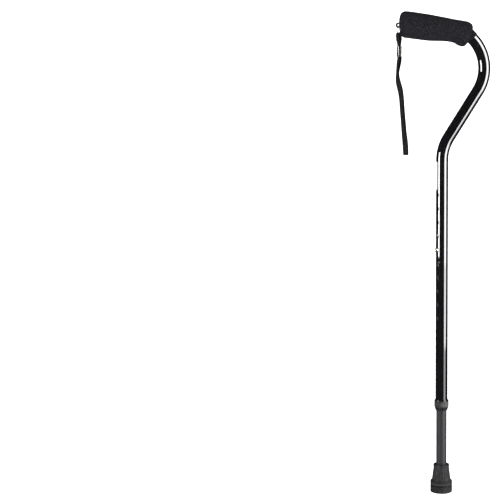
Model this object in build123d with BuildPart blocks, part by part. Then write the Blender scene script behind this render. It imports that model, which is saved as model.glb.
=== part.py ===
from build123d import *
import math
import os

# Offset-handle walking cane, in millimetres.
# The origin is the centre of the tip's ground face. +Z is up the shaft, the handle lies in the XZ plane,
# the grip points towards -X and the gooseneck bulges towards +X. The shaft is at its 889 mm setting.

# Tubes
UPPER_R = 11.1
UPPER_WALL = 1.2
LOWER_R = 9.525
LOWER_WALL = 1.2
UPPER_BOTTOM = 168.0
LOWER_BOTTOM = 16.5
LOWER_TOP = 481.5

# Gooseneck: corner points of the tube's centreline, rounded by one bend radius
BEND_R = 76.2
FIRST_CORNER_Z = 642.7
LEAN = 33.0
LEAN_LENGTH = 252.7
HANDLE_RISE = 3.4
HANDLE_END_X = -75.0

# Height adjustment
HOLE_PITCH = 25.4
BUTTON_Z = 455.5
HOLES_BELOW = 5
HOLES_ABOVE = 4
HOLE_R = 4.25
BUTTON_R = 3.95
BUTTON_TURN = 200.0

# Locking nut, collet and compression ring
NUT_BOTTOM = 155.5
NUT_TOP = 175.0
NUT_R = 13.2
NUT_RIBS = 24
COLLET_SLOTS = 6

# Tip
TIP_HEIGHT = 53.4
TIP_BASE_R = 20.2
TIP_BASE_TOP = 22.5
TIP_CONE_R = 17.7
TIP_NECK_R = 14.2
TIP_LIP = 0.5
TIP_EDGE_R = 3.4

# Wrist strap, ring and lug
WEBBING_WIDTH = 10.0
WEBBING_THICK = 1.5
LUG_X = -81.6
LUG_HOLE_Z = 865.4
LUG_HOLE_R = 2.2
LUG_THICK = 4.4
LUG_HEIGHT = 10.2
RING_R = 8.2
RING_WIRE_R = 0.8
CRIMP_X = -79.4
CRIMP_BOTTOM = 808.5
CRIMP_TOP = 828.0

lean = math.radians(LEAN)
rise = math.radians(HANDLE_RISE)
UPPER_BORE = UPPER_R - UPPER_WALL
LOWER_BORE = LOWER_R - LOWER_WALL

# The second corner is where the leaning run meets the handle's line.
second_corner = (LEAN_LENGTH * math.sin(lean), FIRST_CORNER_Z + LEAN_LENGTH * math.cos(lean))


def on_handle(x):
    """The point of the handle's centreline at that x, as (x, z)."""
    return (x, second_corner[1] + (second_corner[0] - x) * math.tan(rise))


tube_points = [(0, UPPER_BOTTOM), (0, FIRST_CORNER_Z), second_corner, on_handle(HANDLE_END_X)]

# The button and the adjustment holes look along this direction, square to the shaft.
button_out = Vector(math.cos(math.radians(BUTTON_TURN)), math.sin(math.radians(BUTTON_TURN)), 0)
hole_heights = [BUTTON_Z + HOLE_PITCH * k for k in range(-HOLES_BELOW, HOLES_ABOVE + 1)]


def across_shaft(height):
    """The plane whose normal is the button's direction, centred on the shaft at that height."""
    return Plane(origin=(0, 0, height), x_dir=(0, 0, 1), z_dir=button_out)


def along_shaft(height):
    """The upright plane that holds the shaft's axis and the button's direction: x outward, y up."""
    side = button_out.cross(Vector(0, 0, 1))
    return Plane(origin=(0, 0, height), x_dir=button_out, z_dir=side)


os.makedirs("parts", exist_ok=True)

# --- Upper tube: shaft, gooseneck and handle core in one bent tube, with the row of holes ---
with BuildPart() as upper_tube:
    with BuildLine(Plane.XZ) as upper_line:
        FilletPolyline(*tube_points, radius=BEND_R)
    with BuildSketch(Plane.XY.offset(UPPER_BOTTOM)):
        Circle(UPPER_R)
        Circle(UPPER_BORE, mode=Mode.SUBTRACT)
    sweep(path=upper_line.wires()[0])
    with Locations([across_shaft(height) for height in hole_heights]):
        Cylinder(HOLE_R, UPPER_R + 3, align=(Align.CENTER, Align.CENTER, Align.MIN), mode=Mode.SUBTRACT)
upper_tube.part.label = "upper_tube"
export_step(upper_tube.part, "parts/upper_tube.step")

# --- Foam grip: oval hand section that drops to a finger bulge at the neck ---
# Each station is (x of the centre, z of the centre, height, width, forward tilt of the section in degrees).
GRIP_STATIONS = [
    (-77.2, 866.8, 47.8, 38.6, 0),
    (-59.0, 865.2, 48.6, 38.8, 0),
    (-40.0, 862.6, 48.2, 38.3, 0),
    (-21.0, 860.1, 47.0, 37.4, 0),
    (-2.0, 858.0, 44.0, 36.2, 2),
    (16.0, 855.3, 42.0, 35.2, 5),
    (31.0, 851.4, 44.4, 35.2, 8),
    (42.5, 848.8, 45.6, 35.4, 11),
    (52.0, 846.8, 42.6, 33.6, 14),
]
GRIP_END_RADIUS = 8.0
GRIP_NECK_RADIUS = 9.0
with BuildPart() as foam_grip:
    for x, z, height, width, tilt in GRIP_STATIONS:
        tilted = math.radians(tilt)
        forward = (math.cos(tilted), 0, -math.sin(tilted))
        upward = (math.sin(tilted), 0, math.cos(tilted))
        with BuildSketch(Plane(origin=(x, 0, z), x_dir=upward, z_dir=forward)):
            Ellipse(height / 2, width / 2)
    loft()
    grip_ends = foam_grip.faces().filter_by(GeomType.PLANE).sort_by(Axis.X)
    fillet(grip_ends[0].edges(), radius=GRIP_END_RADIUS)
    fillet(grip_ends[-1].edges(), radius=GRIP_NECK_RADIUS)
    with BuildLine(Plane.XZ) as core_line:
        FilletPolyline((0, FIRST_CORNER_Z), second_corner, on_handle(HANDLE_END_X - 15), radius=BEND_R)
    with BuildSketch(Plane(core_line.wires()[0] ^ 0)):
        Circle(UPPER_R)
    sweep(path=core_line.wires()[0], mode=Mode.SUBTRACT)
foam_grip.part.label = "foam_grip"
export_step(foam_grip.part, "parts/foam_grip.step")

# --- Handle end plug: stem in the tube's bore, flange over its end, and the lug that carries the ring ---
PLUG_STEM = 16.0
PLUG_WALL = 2.2
PLUG_CROWN = 3.0
PLUG_FLANGE_R = 10.8
PLUG_FLANGE = 2.4
LUG_ROOT = 0.6
handle_axis = Plane(
    origin=(HANDLE_END_X, 0, on_handle(HANDLE_END_X)[1]),
    x_dir=(0, 1, 0),
    z_dir=(-math.cos(rise), 0, math.sin(rise)),
)
with BuildPart() as handle_end_plug:
    with BuildSketch(handle_axis):
        Circle(UPPER_BORE)
    extrude(amount=-PLUG_STEM)
    with BuildSketch(handle_axis.offset(-PLUG_STEM)):
        Circle(UPPER_BORE - PLUG_WALL)
    extrude(amount=PLUG_STEM - PLUG_CROWN, mode=Mode.SUBTRACT)
    with BuildSketch(handle_axis):
        Circle(PLUG_FLANGE_R)
    extrude(amount=PLUG_FLANGE)
    fillet(handle_end_plug.edges().group_by(Axis.X)[0], radius=0.8)
    with BuildSketch(Plane.XZ.offset(-LUG_THICK / 2)):
        with Locations(((HANDLE_END_X + LUG_X) / 2 - LUG_ROOT, LUG_HOLE_Z)):
            Rectangle(HANDLE_END_X - LUG_X, LUG_HEIGHT)
        with Locations((LUG_X, LUG_HOLE_Z)):
            Circle(LUG_HEIGHT / 2)
            Circle(LUG_HOLE_R, mode=Mode.SUBTRACT)
    extrude(amount=LUG_THICK)
handle_end_plug.part.label = "handle_end_plug"
export_step(handle_end_plug.part, "parts/handle_end_plug.step")

# --- Split ring: hangs from the lug's hole in the plane across the handle ---
RING_PLAY = 0.6
ring_top = LUG_HOLE_Z - LUG_HOLE_R + RING_WIRE_R + RING_PLAY
with BuildPart() as split_ring:
    with Locations(Plane(origin=(LUG_X, 0, ring_top - RING_R), x_dir=(0, 1, 0), z_dir=(1, 0, 0))):
        Torus(RING_R, RING_WIRE_R)
split_ring.part.label = "split_ring"
export_step(split_ring.part, "parts/split_ring.step")

# --- Strap crimp: drawn oval sleeve that clamps the webbing's two ends and its run ---
CRIMP_SIZE = (9.4, 12.6)
CRIMP_SLOT = (6.0, 10.6)
with BuildPart() as strap_crimp:
    with BuildSketch(Plane.XY.offset(CRIMP_BOTTOM)):
        with Locations((CRIMP_X, 0)):
            RectangleRounded(*CRIMP_SIZE, radius=3.6)
    extrude(amount=CRIMP_TOP - CRIMP_BOTTOM)
    ends = strap_crimp.faces().filter_by(Axis.Z).sort_by(Axis.Z)
    fillet(ends[0].edges() + ends[-1].edges(), radius=1.0)
    with BuildSketch(Plane.XY.offset(CRIMP_BOTTOM)):
        with Locations((CRIMP_X, 0)):
            RectangleRounded(*CRIMP_SLOT, radius=0.8)
    extrude(amount=CRIMP_TOP - CRIMP_BOTTOM, mode=Mode.SUBTRACT)
strap_crimp.part.label = "strap_crimp"
export_step(strap_crimp.part, "parts/strap_crimp.step")

# --- Wrist strap: one length of webbing. Its route starts in the crimp, goes up over the ring's wire and
# down through the crimp again, runs to the bottom fold, and comes back up to end in the crimp.
LAYER = 1.65
FOLD = 2.7
STRAP_ROUTE = [
    (CRIMP_X, CRIMP_BOTTOM + 4),
    (CRIMP_X, CRIMP_TOP + 1),
    (CRIMP_X + 0.9, 840.0),
    (LUG_X + FOLD, 851.9),
    (LUG_X - FOLD, 851.9),
    (LUG_X - 1.8, 839.0),
    (CRIMP_X - LAYER, CRIMP_TOP + 1),
    (CRIMP_X - LAYER, CRIMP_BOTTOM),
    (-84.2, 781.0),
    (-82.4, 759.0),
    (-77.4, 728.0),
    (-74.4, 692.0),
    (-71.2, 662.0),
    (-70.2, 645.0),
    (-69.9, 631.75),
    (-63.5, 631.75),
    (-63.8, 645.0),
    (-65.0, 662.0),
    (-68.0, 692.0),
    (-71.2, 728.0),
    (-76.4, 759.0),
    (-79.0, 781.0),
    (CRIMP_X + LAYER, CRIMP_BOTTOM),
    (CRIMP_X + LAYER, CRIMP_TOP - 3),
]


def arc_radii(points):
    """The radius at each corner: as large as the shorter of its two runs allows."""
    radii = []
    for before, here, after in zip(points, points[1:], points[2:]):
        run_in = Vector(*here) - Vector(*before)
        run_out = Vector(*after) - Vector(*here)
        half_turn = math.radians(run_in.get_angle(run_out)) / 2
        radii.append(0.45 * min(run_in.length, run_out.length) / math.tan(half_turn))
    return radii


strap_radii = arc_radii(STRAP_ROUTE)
print("strap radii", [round(radius, 1) for radius in strap_radii])
with BuildPart() as wrist_strap:
    with BuildLine(Plane.XZ) as strap_line:
        FilletPolyline(*STRAP_ROUTE, radius=strap_radii)
    with BuildSketch(Plane(strap_line.wires()[0] ^ 0)):
        Rectangle(WEBBING_THICK, WEBBING_WIDTH)
    sweep(path=strap_line.wires()[0])
strap_length = strap_line.wires()[0].length
print("strap length", round(strap_length, 1), "volume", round(wrist_strap.part.volume, 1),
      "of", round(strap_length * WEBBING_WIDTH * WEBBING_THICK, 1))
wrist_strap.part.label = "wrist_strap"
export_step(wrist_strap.part, "parts/wrist_strap.step")

# --- Blank label: clear film on the shaft's grip side ---
LABEL_BOTTOM = 566.0
LABEL_TOP = 618.0
LABEL_THICK = 0.2
LABEL_TURN = 170.0
LABEL_SPAN = 70.0
label_start = LABEL_TURN - LABEL_SPAN / 2
with BuildPart() as blank_label:
    with BuildSketch(Plane.XY.offset(LABEL_BOTTOM)):
        with BuildLine():
            outer_arc = CenterArc((0, 0), UPPER_R + LABEL_THICK, label_start, LABEL_SPAN)
            inner_arc = CenterArc((0, 0), UPPER_R, label_start, LABEL_SPAN)
            Line(outer_arc @ 0, inner_arc @ 0)
            Line(outer_arc @ 1, inner_arc @ 1)
        make_face()
    extrude(amount=LABEL_TOP - LABEL_BOTTOM)
blank_label.part.label = "blank_label"
export_step(blank_label.part, "parts/blank_label.step")

# --- Collet bushing: threaded sleeve pressed over the upper tube's end, with slotted fingers below it ---
COLLET_OUTER = 12.0
COLLET_FINGER_R = 11.2
COLLET_BORE = LOWER_R + 0.33
COLLET_BOTTOM = 160.2
COLLET_TOP = 174.4
with BuildPart() as collet_bushing:
    with BuildSketch(Plane.XZ):
        with BuildLine():
            Polyline(
                (COLLET_BORE, UPPER_BOTTOM),
                (UPPER_R, UPPER_BOTTOM),
                (UPPER_R, COLLET_TOP),
                (COLLET_OUTER, COLLET_TOP),
                (COLLET_OUTER, 165.0),
                (COLLET_FINGER_R, 164.2),
                (COLLET_FINGER_R - 0.5, COLLET_BOTTOM),
                (COLLET_BORE, COLLET_BOTTOM),
                close=True,
            )
        make_face()
    revolve(axis=Axis.Z)
    with BuildSketch(Plane.XY.offset(COLLET_BOTTOM)):
        with PolarLocations(COLLET_FINGER_R, COLLET_SLOTS):
            Rectangle(4, 1.4)
    extrude(amount=4.6, mode=Mode.SUBTRACT)
collet_bushing.part.label = "collet_bushing"
export_step(collet_bushing.part, "parts/collet_bushing.step")

# --- Compression ring: rides on the nut's lip and closes the collet's fingers ---
NUT_LIP = 2.0
RING_BOTTOM = NUT_BOTTOM + NUT_LIP + 0.2
RING_TOP = RING_BOTTOM + 2.1
SLIDE_R = LOWER_R + 0.4
with BuildPart() as compression_ring:
    with BuildSketch(Plane.XZ):
        with BuildLine():
            Polyline(
                (SLIDE_R, RING_BOTTOM),
                (10.35, RING_BOTTOM),
                (10.85, RING_TOP),
                (10.5, RING_TOP),
                (SLIDE_R, RING_TOP - 1.0),
                close=True,
            )
        make_face()
    revolve(axis=Axis.Z)
compression_ring.part.label = "compression_ring"
export_step(compression_ring.part, "parts/compression_ring.step")

# --- Locking nut: ribbed barrel with a rolled top edge and a tapered skirt ---
NUT_SKIRT_TOP = 162.0
NUT_THREAD_R = COLLET_OUTER + 0.3
RIB_R = 0.7
RIB_DEPTH = 0.45
with BuildPart() as locking_nut:
    with BuildSketch(Plane.XZ):
        with BuildLine():
            Polyline(
                (SLIDE_R, NUT_BOTTOM),
                (10.7, NUT_BOTTOM),
                (NUT_R - 0.4, NUT_SKIRT_TOP),
                (NUT_R, NUT_SKIRT_TOP + 0.8),
                (NUT_R, NUT_TOP - 0.5),
                (NUT_R - 0.5, NUT_TOP),
                (NUT_THREAD_R, NUT_TOP),
                (NUT_THREAD_R, NUT_SKIRT_TOP + 1.0),
                (11.45, NUT_SKIRT_TOP),
                (11.1, 159.6),
                (10.6, NUT_BOTTOM + NUT_LIP),
                (SLIDE_R, NUT_BOTTOM + NUT_LIP),
                close=True,
            )
        make_face()
    revolve(axis=Axis.Z)
    with BuildSketch(Plane.XY.offset(NUT_SKIRT_TOP + 0.8)):
        with PolarLocations(NUT_R + RIB_R - RIB_DEPTH, NUT_RIBS):
            Circle(RIB_R)
    extrude(amount=NUT_TOP - NUT_SKIRT_TOP - 3.0, mode=Mode.SUBTRACT)
locking_nut.part.label = "locking_nut"
export_step(locking_nut.part, "parts/locking_nut.step")

# --- Lower tube: slides in the upper tube and carries the button ---
with BuildPart() as lower_tube:
    with BuildSketch(Plane.XY.offset(LOWER_BOTTOM)):
        Circle(LOWER_R)
        Circle(LOWER_BORE, mode=Mode.SUBTRACT)
    extrude(amount=LOWER_TOP - LOWER_BOTTOM)
    with Locations(across_shaft(BUTTON_Z)):
        Cylinder(HOLE_R, LOWER_R + 3, align=(Align.CENTER, Align.CENTER, Align.MIN), mode=Mode.SUBTRACT)
lower_tube.part.label = "lower_tube"
export_step(lower_tube.part, "parts/lower_tube.step")

# --- Tube guide cap: plastic ring on the lower tube's top end that takes up the play in the upper tube ---
GUIDE_R = UPPER_BORE - 0.3
GUIDE_STEM = 8.0
with BuildPart() as tube_guide_cap:
    with BuildSketch(Plane.XZ):
        with BuildLine():
            Polyline(
                (LOWER_BORE - 1.4, LOWER_TOP - GUIDE_STEM),
                (LOWER_BORE, LOWER_TOP - GUIDE_STEM),
                (LOWER_BORE, LOWER_TOP),
                (GUIDE_R, LOWER_TOP),
                (GUIDE_R, LOWER_TOP + 2.4),
                (GUIDE_R - 0.8, LOWER_TOP + 3.2),
                (LOWER_BORE - 1.4, LOWER_TOP + 3.2),
                close=True,
            )
        make_face()
    revolve(axis=Axis.Z)
tube_guide_cap.part.label = "tube_guide_cap"
export_step(tube_guide_cap.part, "parts/tube_guide_cap.step")

# --- Snap button: domed head with a flange that stays inside the lower tube ---
FLANGE_IN = 5.4
FLANGE_OUT = 6.3
BUTTON_SHOULDER = 13.0
BUTTON_TIP = 15.4
dome_rise = BUTTON_TIP - BUTTON_SHOULDER
dome_r = (BUTTON_R**2 + dome_rise**2) / (2 * dome_rise)
with BuildPart() as snap_button:
    with BuildSketch(along_shaft(BUTTON_Z)):
        with BuildLine():
            dome = CenterArc((BUTTON_TIP - dome_r, 0), dome_r, 0, math.degrees(math.asin(BUTTON_R / dome_r)))
            Polyline(
                dome @ 0,
                (FLANGE_IN, 0),
                (FLANGE_IN, 5.0),
                (FLANGE_OUT, 5.0),
                (FLANGE_OUT, BUTTON_R),
                dome @ 1,
            )
        make_face()
    revolve(axis=Axis(origin=(0, 0, BUTTON_Z), direction=button_out))
snap_button.part.label = "snap_button"
export_step(snap_button.part, "parts/snap_button.step")

# --- Snap spring: V-shaped leaf under the button, braced against the far side of the lower tube ---
LEAF_THICK = 0.6
LEAF_WIDTH = 5.0
spring_plane = along_shaft(BUTTON_Z)
with BuildPart() as snap_spring:
    with BuildLine(spring_plane) as leaf_line:
        FilletPolyline(
            (FLANGE_IN - LEAF_THICK / 2, 7.0),
            (FLANGE_IN - LEAF_THICK / 2, -9.0),
            (0.9, -44.0),
            (-2.9, -44.0),
            (-7.55, -6.0),
            (-7.55, 10.0),
            radius=1.6,
        )
    with BuildSketch(Plane(origin=leaf_line.wires()[0] @ 0, x_dir=button_out, z_dir=(0, 0, -1))):
        Rectangle(LEAF_THICK, LEAF_WIDTH)
    sweep(path=leaf_line.wires()[0])
snap_spring.part.label = "snap_spring"
export_step(snap_spring.part, "parts/snap_spring.step")

# --- Rubber tip: stepped foot with a conical neck, and ring grooves in its ground face ---
TIP_FLOOR = 15.0
GROOVE_DEPTH = 1.5
GROOVE_WIDTH = 1.5
with BuildPart() as rubber_tip:
    with BuildSketch(Plane.XZ):
        with BuildLine():
            edge = CenterArc((TIP_BASE_R - TIP_EDGE_R, TIP_EDGE_R), TIP_EDGE_R, -90, 90)
            Polyline(
                edge @ 1,
                (TIP_BASE_R, TIP_BASE_TOP - 0.8),
                (TIP_BASE_R - 0.8, TIP_BASE_TOP),
                (TIP_CONE_R + 0.4, TIP_BASE_TOP),
                (TIP_CONE_R, TIP_BASE_TOP + 0.8),
                (TIP_NECK_R, TIP_HEIGHT - 5.6),
                (TIP_NECK_R + TIP_LIP, TIP_HEIGHT - 4.2),
                (TIP_NECK_R + TIP_LIP, TIP_HEIGHT - 1.2),
                (TIP_NECK_R - 0.6, TIP_HEIGHT),
                (LOWER_R + 1.2, TIP_HEIGHT),
                (LOWER_R, TIP_HEIGHT - 1.2),
                (LOWER_R, TIP_FLOOR),
                (0, TIP_FLOOR),
                (0, 0),
                edge @ 0,
            )
        make_face()
    revolve(axis=Axis.Z)
    with BuildSketch(Plane.XY):
        for inner in (7.0, 10.5, 14.0):
            Circle(inner + GROOVE_WIDTH)
            Circle(inner, mode=Mode.SUBTRACT)
    extrude(amount=GROOVE_DEPTH, mode=Mode.SUBTRACT)
rubber_tip.part.label = "rubber_tip"
export_step(rubber_tip.part, "parts/rubber_tip.step")

# --- Tip washer: steel disc that keeps the tube from cutting through the tip ---
with BuildPart() as tip_washer:
    with BuildSketch(Plane.XY.offset(TIP_FLOOR)):
        Circle(LOWER_R - 0.1)
    extrude(amount=LOWER_BOTTOM - TIP_FLOOR)
tip_washer.part.label = "tip_washer"
export_step(tip_washer.part, "parts/tip_washer.step")
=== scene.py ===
import math

import bmesh
import bpy
import numpy as np
from mathutils import Matrix, Vector


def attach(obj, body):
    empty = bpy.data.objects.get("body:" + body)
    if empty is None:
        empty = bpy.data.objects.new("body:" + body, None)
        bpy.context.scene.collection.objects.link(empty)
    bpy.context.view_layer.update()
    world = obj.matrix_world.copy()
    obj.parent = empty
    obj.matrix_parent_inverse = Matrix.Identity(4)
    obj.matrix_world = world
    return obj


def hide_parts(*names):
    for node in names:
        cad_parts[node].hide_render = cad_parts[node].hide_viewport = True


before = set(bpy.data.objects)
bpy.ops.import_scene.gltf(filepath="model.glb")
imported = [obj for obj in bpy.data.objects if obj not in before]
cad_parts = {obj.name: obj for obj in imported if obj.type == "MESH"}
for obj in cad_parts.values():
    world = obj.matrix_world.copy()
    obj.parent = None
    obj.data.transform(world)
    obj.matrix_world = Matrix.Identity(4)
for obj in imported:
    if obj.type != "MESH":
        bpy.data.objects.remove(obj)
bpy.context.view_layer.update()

scene = bpy.context.scene
MM = 0.001

# ---------------------------------------------------------------------------------------------
# Camera and lights
# ---------------------------------------------------------------------------------------------
CAMERA_AT = Vector((-0.7765, -2.8978, 0.8))
CAMERA_HEADING = 8.243  # degrees from +Y towards +X
CAMERA_DOWN = 6.534     # degrees below level
CAMERA_ROLL = -0.61
CAMERA_LENS = 117.35

lens = bpy.data.cameras.new("camera")
lens.sensor_width = 36.0
lens.lens = CAMERA_LENS
lens.clip_end = 100.0
camera = bpy.data.objects.new("camera", lens)
scene.collection.objects.link(camera)
turn = (
    Matrix.Rotation(math.radians(-CAMERA_HEADING), 4, "Z")
    @ Matrix.Rotation(math.radians(90 - CAMERA_DOWN), 4, "X")
    @ Matrix.Rotation(math.radians(CAMERA_ROLL), 4, "Z")
)
camera.matrix_world = Matrix.Translation(CAMERA_AT) @ turn
scene.camera = camera
scene.view_settings.view_transform = "Standard"

world = bpy.data.worlds.new("studio_air")
world.use_nodes = True
world.node_tree.nodes["Background"].inputs["Color"].default_value = (0.9, 0.92, 1.0, 1.0)
world.node_tree.nodes["Background"].inputs["Strength"].default_value = 0.012
scene.world = world

CAMERA_BEARING = math.degrees(math.atan2(CAMERA_AT.y, CAMERA_AT.x))
STRIP_DISTANCE = 2.2


def panel(name, at, aim, size, brightness, glossy=True, diffuse=True):
    """A rectangular area light at one place, facing another. brightness is its radiance."""
    lamp = bpy.data.lights.new(name, "AREA")
    lamp.shape = "RECTANGLE"
    lamp.size, lamp.size_y = size
    lamp.energy = brightness * math.pi * size[0] * size[1]
    ob = bpy.data.objects.new(name, lamp)
    scene.collection.objects.link(ob)
    ob.location = at
    ob.rotation_euler = (Vector(aim) - Vector(at)).to_track_quat("-Z", "Y").to_euler()
    ob.visible_camera = False
    ob.visible_glossy = glossy
    ob.visible_diffuse = diffuse


def strip(name, side, width, low, high, brightness):
    """An upright strip light that only reflections see. side is its angle from the camera's bearing,
    towards +X."""
    bearing = math.radians(CAMERA_BEARING + side)
    at = (STRIP_DISTANCE * math.cos(bearing), STRIP_DISTANCE * math.sin(bearing), (low + high) / 2)
    panel(name, at, (0, 0, at[2]), (width, high - low), brightness, diffuse=False)


# The strips on the right fade towards the floor. The one on the left ends part of the way down the shaft.
strip("strip_right", 66, 1.64, 0.15, 2.6, 24)
strip("strip_right_middle", 66, 1.64, -0.12, 0.15, 18)
strip("strip_right_low", 62, 1.5, -0.9, -0.12, 7)
strip("strip_left", -60, 0.86, 0.18, 1.0, 42)
panel("overhead", (-0.6, -0.9, 2.6), (0, 0, 0.7), (1.6, 1.6), 1.2)
panel("key", (-1.8, -2.4, 2.2), (0, 0, 0.5), (1.6, 1.6), 0.8, glossy=False)

# ---------------------------------------------------------------------------------------------
# Node helpers
# ---------------------------------------------------------------------------------------------


class Shader:
    """A Principled material with a few helpers for its procedural inputs."""

    def __init__(self, name, **sockets):
        self.material = bpy.data.materials.new(name)
        self.material.use_nodes = True
        self.tree = self.material.node_tree
        self.principled = self.tree.nodes["Principled BSDF"]
        for key, value in sockets.items():
            self.set(key.replace("_", " "), value)

    def set(self, socket, value):
        if isinstance(value, tuple) and len(value) == 3:
            value = (*value, 1.0)
        self.principled.inputs[socket].default_value = value

    def node(self, kind, inputs=None, **settings):
        made = self.tree.nodes.new(kind)
        for key, value in settings.items():
            setattr(made, key, value)
        for key, value in (inputs or {}).items():
            if isinstance(value, bpy.types.NodeSocket):
                self.tree.links.new(value, made.inputs[key])
            else:
                made.inputs[key].default_value = value
        return made

    def place(self, scale=(1, 1, 1)):
        """The piece's own coordinates in millimetres, times scale."""
        spot = self.node("ShaderNodeTexCoord").outputs["Object"]
        return self.stretch(spot, [s / MM for s in scale])

    def stretch(self, vector, scale):
        return self.node("ShaderNodeVectorMath", {0: vector, 1: scale}, operation="MULTIPLY").outputs[0]

    def height(self, vector):
        return self.node("ShaderNodeSeparateXYZ", {0: vector}).outputs[2]

    def noise(self, vector, scale, detail=3.0, roughness=0.55):
        inputs = {"Vector": vector, "Scale": scale, "Detail": detail, "Roughness": roughness}
        return self.node("ShaderNodeTexNoise", inputs).outputs["Fac"]

    def cells(self, vector, scale):
        made = self.node("ShaderNodeTexVoronoi", {"Vector": vector, "Scale": scale}, feature="F1")
        return made.outputs["Distance"]

    def span(self, value, low, high, to_low=0.0, to_high=1.0):
        made = self.node("ShaderNodeMapRange", {0: value, 1: low, 2: high, 3: to_low, 4: to_high})
        return made.outputs[0]

    def math(self, operation, a, b=0.0):
        return self.node("ShaderNodeMath", {0: a, 1: b}, operation=operation).outputs[0]

    def mix(self, amount, a, b):
        made = self.node("ShaderNodeMix", data_type="RGBA")
        for index, value in ((0, amount), (6, a), (7, b)):
            if isinstance(value, bpy.types.NodeSocket):
                self.tree.links.new(value, made.inputs[index])
            else:
                made.inputs[index].default_value = (*value, 1.0) if isinstance(value, tuple) else value
        return made.outputs[2]

    def color(self, socket):
        self.tree.links.new(socket, self.principled.inputs["Base Color"])

    def rough(self, socket):
        self.tree.links.new(socket, self.principled.inputs["Roughness"])

    def bump(self, height, distance_mm, strength=1.0, also=None):
        inputs = {"Height": height, "Distance": distance_mm * MM, "Strength": strength}
        if also is not None:
            inputs["Normal"] = also
        made = self.node("ShaderNodeBump", inputs)
        self.tree.links.new(made.outputs[0], self.principled.inputs["Normal"])
        return made.outputs[0]


# ---------------------------------------------------------------------------------------------
# Mesh helpers. All their sizes are in millimetres.
# ---------------------------------------------------------------------------------------------


def mesh_piece(name, verts, faces, material, body, nodes, sharp=35):
    """A smooth-shaded piece on a body, in place of the CAD nodes. Edges are sharp where its faces turn by
    more than sharp degrees."""
    me = bpy.data.meshes.new(name)
    me.from_pydata([tuple(c * MM for c in v) for v in verts], [], faces)
    bm = bmesh.new()
    bm.from_mesh(me)
    loose = [v for v in bm.verts if not v.link_faces]
    bmesh.ops.delete(bm, geom=loose, context="VERTS")
    bmesh.ops.recalc_face_normals(bm, faces=bm.faces[:])
    bm.to_mesh(me)
    bm.free()
    me.polygons.foreach_set("use_smooth", [True] * len(me.polygons))
    me.set_sharp_from_angle(angle=math.radians(sharp))
    me.materials.append(material)
    ob = bpy.data.objects.new(name, me)
    scene.collection.objects.link(ob)
    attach(ob, body)
    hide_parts(*nodes)
    return ob


def rounded(corners, steps):
    """A profile's points from its corners (r, z, radius), each corner turned into an arc."""
    points = []
    count = len(corners)
    for i, (r, z, radius) in enumerate(corners):
        here = Vector((r, z))
        before = Vector(corners[i - 1][:2]) - here
        after = Vector(corners[(i + 1) % count][:2]) - here
        if radius <= 0:
            points.append((r, z))
            continue
        half = before.angle(after) / 2
        reach = min(radius / math.tan(half), 0.49 * before.length, 0.49 * after.length)
        radius = reach * math.tan(half)
        middle = here + (before.normalized() + after.normalized()).normalized() * radius / math.sin(half)
        start = here + before.normalized() * reach - middle
        end = here + after.normalized() * reach - middle
        inner = [start.lerp(end, k / steps).normalized() * radius for k in range(1, steps)]
        points += [tuple(middle + arm) for arm in (start, *inner, end)]
    return points


def grid_faces(rings, around, closed_rings=False):
    """Quads between consecutive rings of vertices, ring after ring."""
    faces = []
    for i in range(rings if closed_rings else rings - 1):
        low, high = i * around, ((i + 1) % rings) * around
        for k in range(around):
            n = (k + 1) % around
            faces.append((low + k, low + n, high + n, high + k))
    return faces


def lathe(profile, around, warp=None):
    """Vertices and faces of a closed profile of (r, z) points turned about Z.

    warp(r, z, angle) gives a new r."""
    verts = []
    for r, z in profile:
        for k in range(around):
            angle = 2 * math.pi * k / around
            out = warp(r, z, angle) if warp else r
            verts.append((out * math.cos(angle), out * math.sin(angle), z))
    return verts, grid_faces(len(profile), around, closed_rings=True)


# ---------------------------------------------------------------------------------------------
# Dimensions shared by several pieces, in millimetres
# ---------------------------------------------------------------------------------------------
UPPER_R, UPPER_BORE = 11.1, 9.9
LOWER_R, LOWER_BORE = 9.525, 8.325
UPPER_BOTTOM = 168.0
LOWER_BOTTOM, LOWER_TOP = 16.5, 481.5
BEND_R = 76.2
FIRST_CORNER_Z = 642.7
LEAN, LEAN_LENGTH = math.radians(33.0), 252.7
RISE = math.radians(3.4)
HANDLE_END_X = -75.0
HOLE_PITCH, HOLE_R = 25.4, 4.25
HOLES_BELOW, HOLES_ABOVE = 5, 4
BUTTON_Z, BUTTON_TURN = 455.5, math.radians(200.0)
NUT_BOTTOM, NUT_TOP, NUT_R = 155.5, 175.0, 13.2
TIP_HEIGHT, TIP_BASE_TOP, TIP_BASE_R = 53.4, 22.5, 20.2
GROOVE_LOW, GROOVE_HIGH = 12.6, 14.6
LABEL_LOW, LABEL_HIGH = 566.0, 618.0

second_corner = (LEAN_LENGTH * math.sin(LEAN), FIRST_CORNER_Z + LEAN_LENGTH * math.cos(LEAN))


def on_handle(x):
    return (x, second_corner[1] + (second_corner[0] - x) * math.tan(RISE))


# ---------------------------------------------------------------------------------------------
# Materials
# ---------------------------------------------------------------------------------------------


def gloss_paint():
    s = Shader("gloss_black_paint", Metallic=0.0, Coat_Weight=1.0, Coat_Roughness=0.03, Coat_IOR=1.5)
    s.set("Specular IOR Level", 0.0)
    at = s.place()
    fleck = s.noise(at, 0.9, 4.0)
    cloud = s.noise(at, 0.02, 2.0)
    dark = s.mix(cloud, (0.0035, 0.0037, 0.0045), (0.0065, 0.0065, 0.0075))
    s.color(s.mix(s.span(fleck, 0.62, 0.75), dark, (0.014, 0.014, 0.016)))
    s.rough(s.span(s.noise(s.place((1, 1, 0.05)), 0.4, 3.0), 0.3, 0.7, 0.16, 0.3))
    s.bump(s.noise(at, 0.22, 1.5), 0.012, 0.35)
    return s.material


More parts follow.
